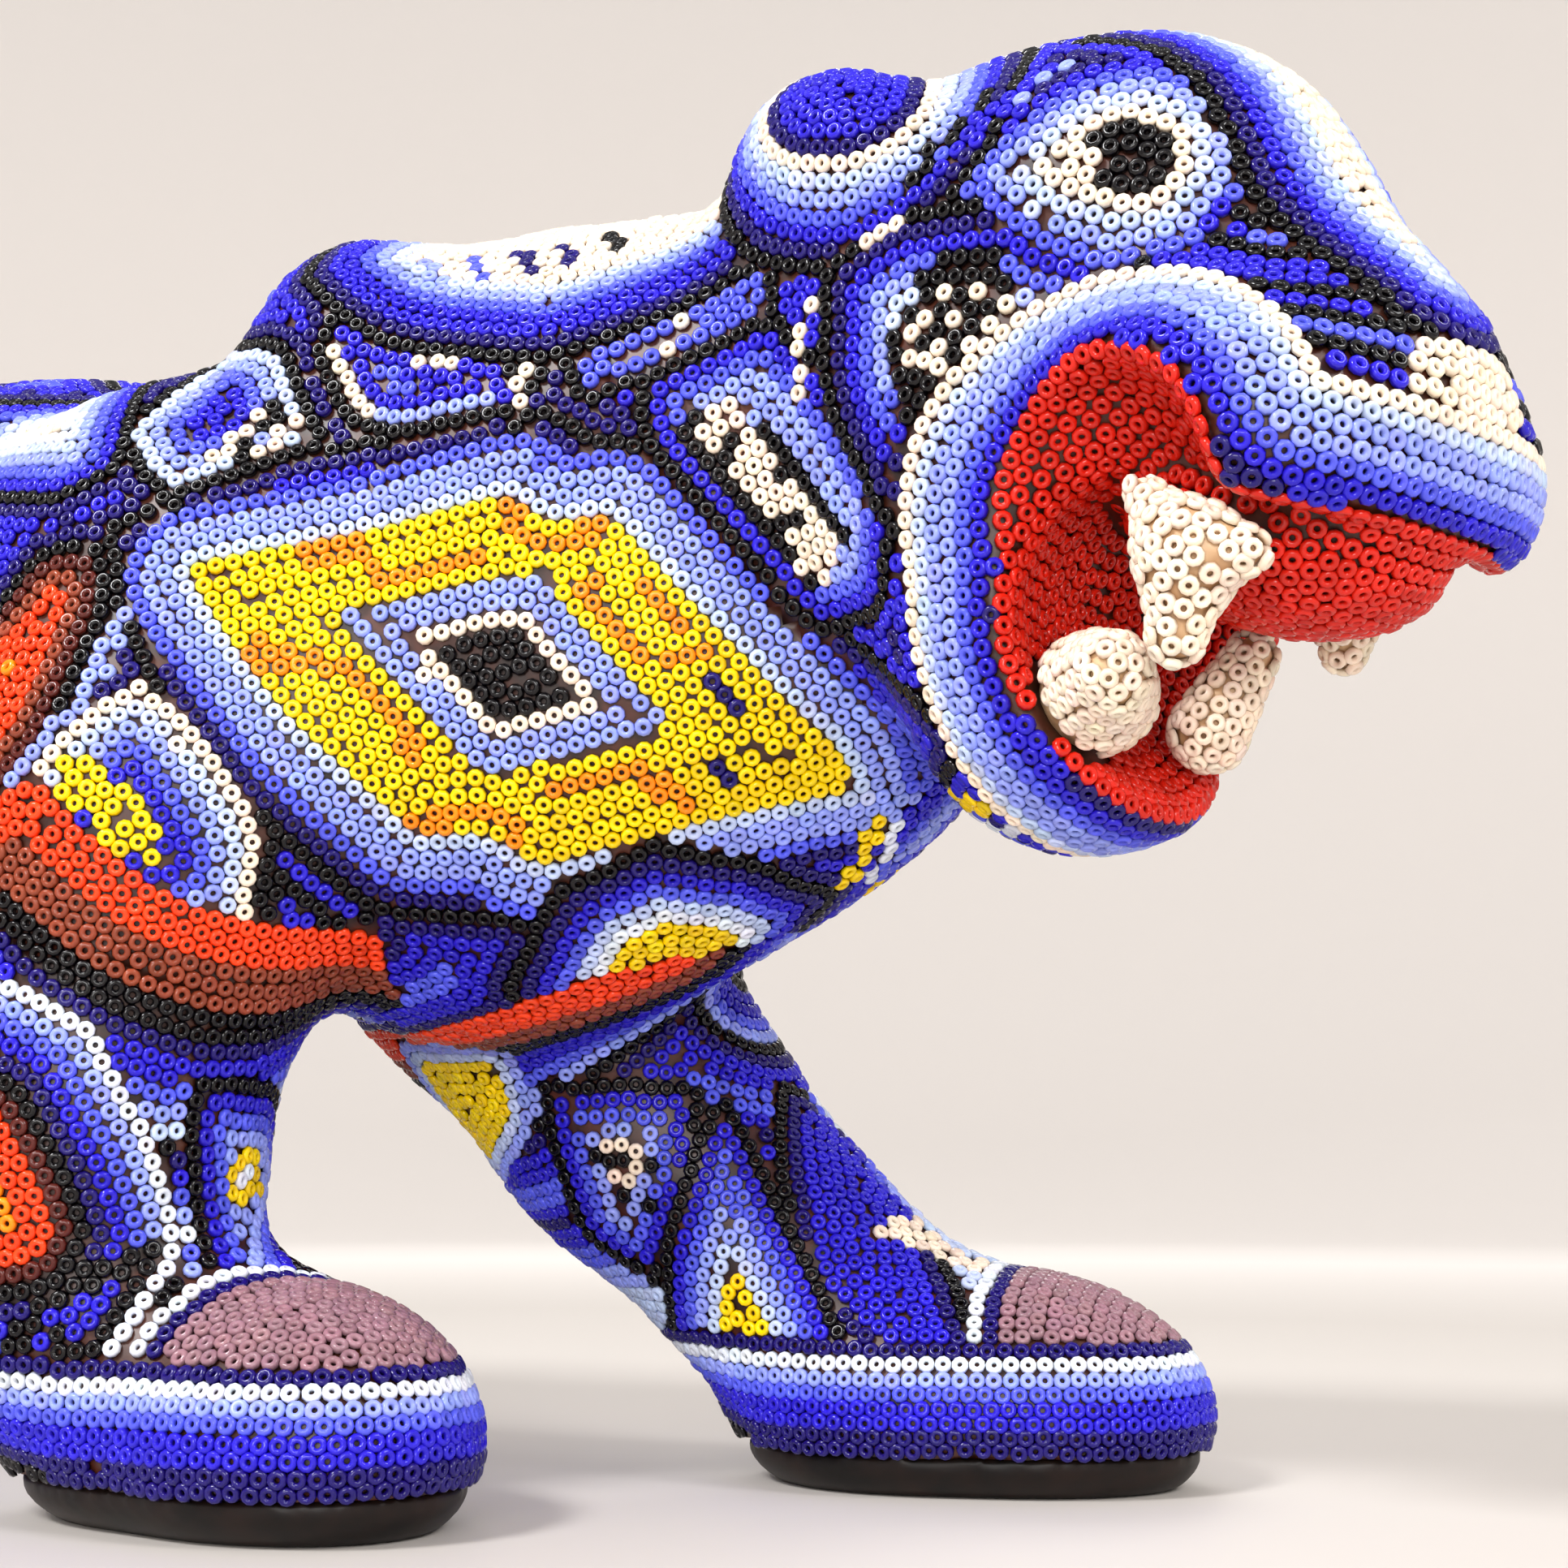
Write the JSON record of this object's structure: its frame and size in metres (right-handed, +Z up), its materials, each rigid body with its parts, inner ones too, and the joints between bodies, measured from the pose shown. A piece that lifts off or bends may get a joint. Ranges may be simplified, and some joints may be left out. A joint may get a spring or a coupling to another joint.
{
  "type": "beaded folk-art animal figure",
  "caption": "Free-standing walking big cat with open mouth and fangs, carved in wood and covered all over with patterned glass seed beads in wax.",
  "frame": {"origin": "middle of the outline on the floor, at the underside of the soles", "axes": "+X towards the figure's front, +Y towards its left side, +Z up"},
  "size_m": [0.3709, 0.1171, 0.1754],
  "materials": {
    "carved_wood": "matt",
    "beaded_wax_torso": "glossy glass beads in brown wax",
    "beaded_wax_head": "glossy glass beads in brown wax",
    "beaded_wax_fore": "glossy glass beads in brown wax",
    "beaded_wax_hind": "glossy glass beads in brown wax",
    "beaded_wax_tail": "glossy glass beads in brown wax",
    "fang_ivory": "glossy",
    "sole_wax": "satin",
    "dowel_birch": "matt"
  },
  "bodies": {
    "root": {"torso_core": "carved_wood", "torso_coat": "beaded_wax_torso", "head_core": "carved_wood", "head_coat": "beaded_wax_head", "fore_right_core": "carved_wood", "fore_right_coat": "beaded_wax_fore", "fore_left_core": "carved_wood", "fore_left_coat": "beaded_wax_fore", "hind_right_core": "carved_wood", "hind_right_coat": "beaded_wax_hind", "hind_left_core": "carved_wood", "hind_left_coat": "beaded_wax_hind", "tail_core": "carved_wood", "tail_coat": "beaded_wax_tail", "fang_upper_right": "fang_ivory", "fang_upper_left": "fang_ivory", "fang_lower_right": "fang_ivory", "fang_lower_left": "fang_ivory", "sole_fore_right": "sole_wax", "sole_fore_left": "sole_wax", "sole_hind_right": "sole_wax", "sole_hind_left": "sole_wax", "dowel_neck": "dowel_birch", "dowel_fore_right": "dowel_birch", "dowel_fore_left": "dowel_birch", "dowel_hind_right": "dowel_birch", "dowel_hind_left": "dowel_birch", "dowel_tail": "dowel_birch"}
  },
  "joints": []
}
